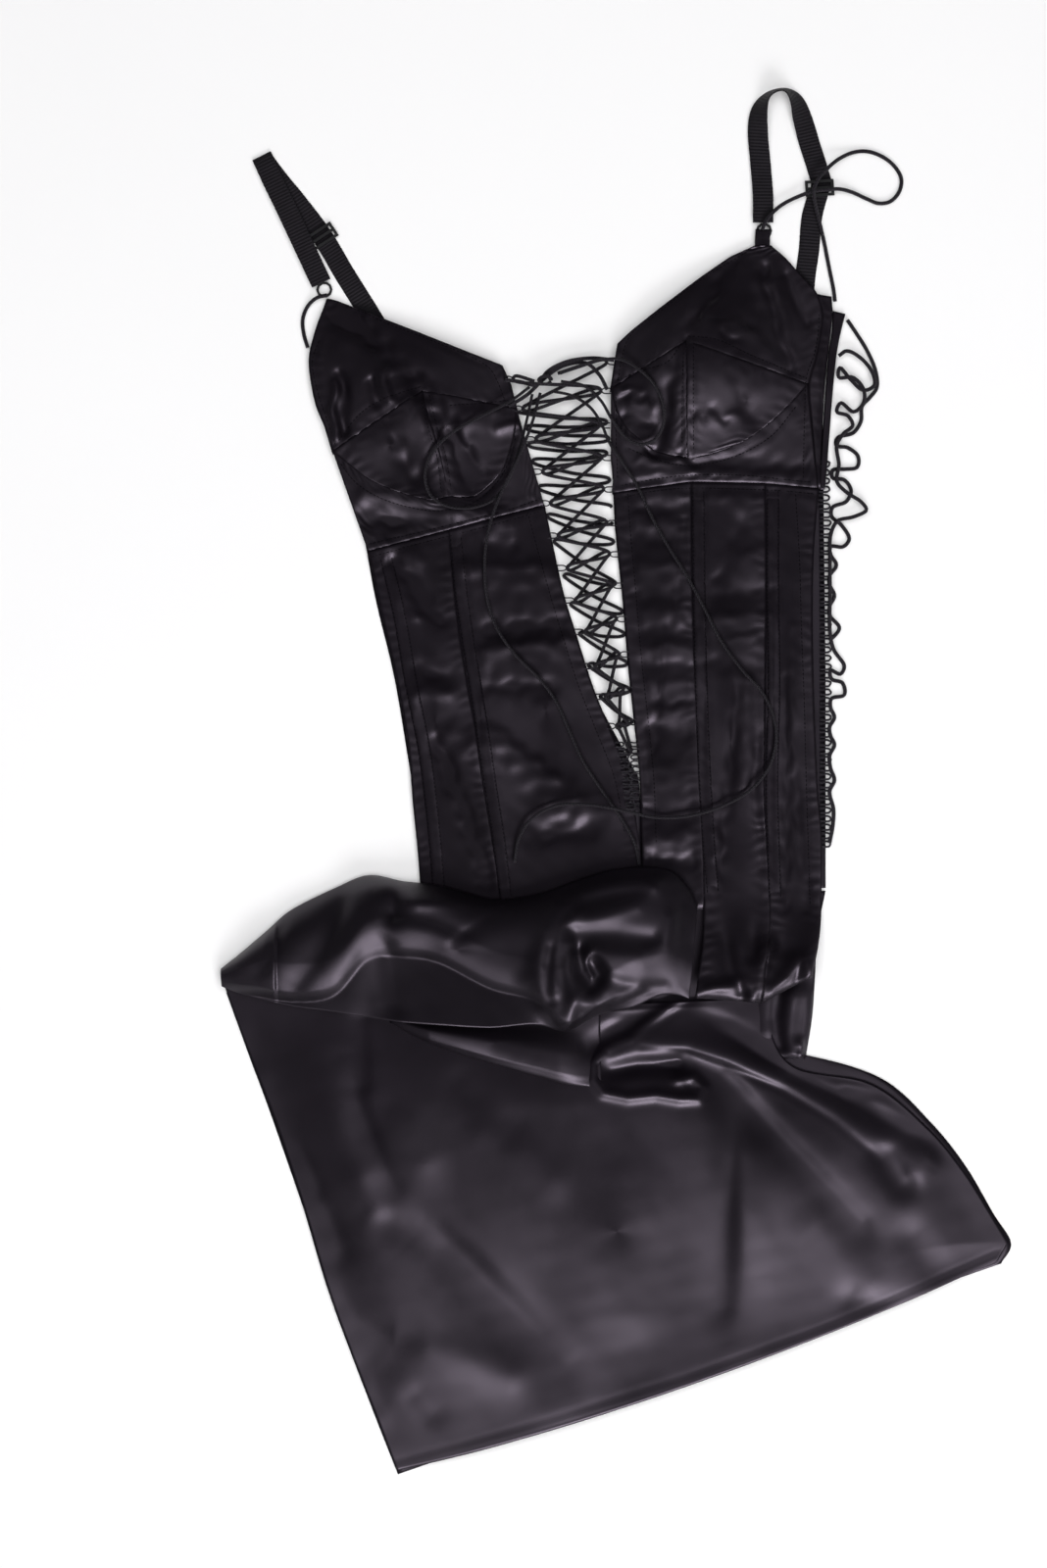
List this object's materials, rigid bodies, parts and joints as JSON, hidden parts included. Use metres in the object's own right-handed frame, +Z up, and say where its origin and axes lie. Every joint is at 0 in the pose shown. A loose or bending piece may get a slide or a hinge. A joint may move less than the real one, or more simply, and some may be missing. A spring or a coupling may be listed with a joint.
{
  "type": "corset dress",
  "caption": "Satin corset dress laid flat: soft cups, boned bodice, laced centre front and side, elastic straps, and a skirt folded over at the hip and spread out below.",
  "frame": {"origin": "middle of the underside of the laid-out dress, on the surface it lies on, measured without the cords' free ends", "axes": "+Y from the hem up to the straps along the longest extent, +Z up from the surface, out of the dress's front; +X to the viewer's right"},
  "size_m": [0.5792, 1.018, 0.0427],
  "materials": {
    "satin": "satin weave, soft sheen",
    "satin_under": "satin weave, in shadow",
    "elastic": "ribbed elastic",
    "cord": "braided cord",
    "hardware": "smooth black"
  },
  "bodies": {
    "root": {"cup_upper_l": "satin", "cup_outer_l": "satin", "cup_inner_l": "satin", "cup_upper_r": "satin", "cup_outer_r": "satin", "cup_inner_r": "satin", "band_l": "satin", "band_r": "satin", "side_panel_l": "satin", "front_panel_l": "satin", "front_panel_r": "satin", "mid_panel_r": "satin", "side_panel_r": "satin", "side_facing_r": "satin", "side_tape_r": "satin", "casing_l1": "satin", "casing_l2": "satin", "casing_r1": "satin", "casing_r2": "satin", "skirt_front": "satin", "skirt_flap": "satin", "skirt_fold": "satin", "ring_tab_r": "satin", "back_l": "satin_under", "back_r": "satin_under", "skirt_neck": "satin_under", "skirt_back": "satin_under", "skirt_heap": "satin_under", "hook_tape_l": "satin_under", "hook_tape_r": "satin_under", "strap_l": "elastic", "strap_r": "elastic", "lace_front_a": "cord", "lace_front_b": "cord", "lace_back_a": "cord", "lace_back_b": "cord", "lace_knot": "cord", "lace_loop_l": "cord", "lace_loop_r": "cord", "lace_tail_l": "cord", "lace_tail_r": "cord", "side_lace_a": "cord", "side_lace_b": "cord", "side_lace_tail": "cord", "side_lace_end_l": "cord", "ring_l": "hardware", "ring_r": "hardware", "slider_l": "hardware", "slider_r": "hardware"}
  },
  "joints": []
}
